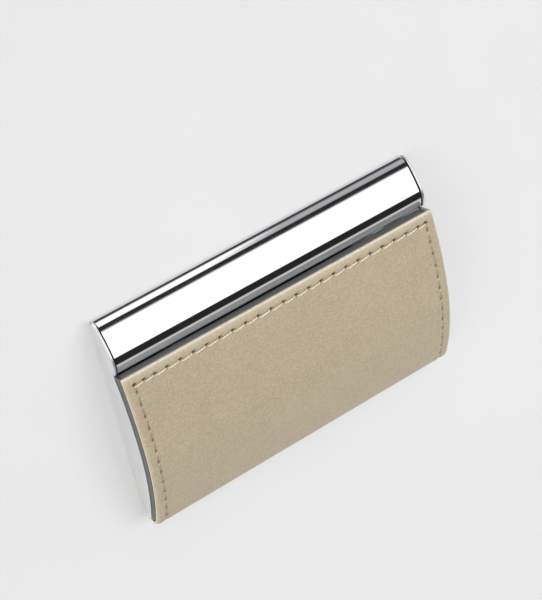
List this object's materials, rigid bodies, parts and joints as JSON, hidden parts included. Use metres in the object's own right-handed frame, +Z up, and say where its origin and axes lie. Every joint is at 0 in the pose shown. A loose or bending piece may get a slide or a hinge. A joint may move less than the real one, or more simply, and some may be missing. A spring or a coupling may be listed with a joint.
{
  "type": "business card case",
  "caption": "Flat business card case: polished metal tray with rounded front band and a curved, stitched leather lid on a leather hinge, held shut by hidden magnets.",
  "frame": {"origin": "middle of the footprint, on the lowest plane of the case, with the case lying on its back", "axes": "+X along the case, -Y towards the bright edge that opens, +Y towards the leather hinge, +Z up through the lid"},
  "size_m": [0.095, 0.0632, 0.0131],
  "materials": {
    "polished_metal": "mirror-polished sheet metal",
    "satin_metal": "fine satin",
    "plain_steel": "plain rolled steel",
    "khaki_leather": "fine-grained, soft sheen",
    "grey_board": "pressed grey board, matt",
    "magnet_plating": "nickel-plated",
    "black_board": "black bonded board, matt",
    "cream_thread": "twisted thread, slight sheen"
  },
  "bodies": {
    "tray": {"body_shell": "polished_metal", "left_end_plate": "satin_metal", "right_end_plate": "satin_metal", "striker_bar": "plain_steel", "leather_strip": "khaki_leather", "leather_spine": "khaki_leather"},
    "lid": {"lid_shell": "polished_metal", "lid_liner": "polished_metal", "lid_core": "grey_board", "left_magnet": "magnet_plating", "right_magnet": "magnet_plating", "lid_board": "black_board", "leather_cover": "khaki_leather", "lid_stitching": "cream_thread"}
  },
  "joints": [
    {"name": "lid_hinge", "type": "hinge", "parent": "tray", "child": "lid", "pos_m": [0, 0.0311, 0.0035], "axis": [-1, 0, 0], "range_deg": [0, 120], "deforming": ["leather_spine"]}
  ]
}
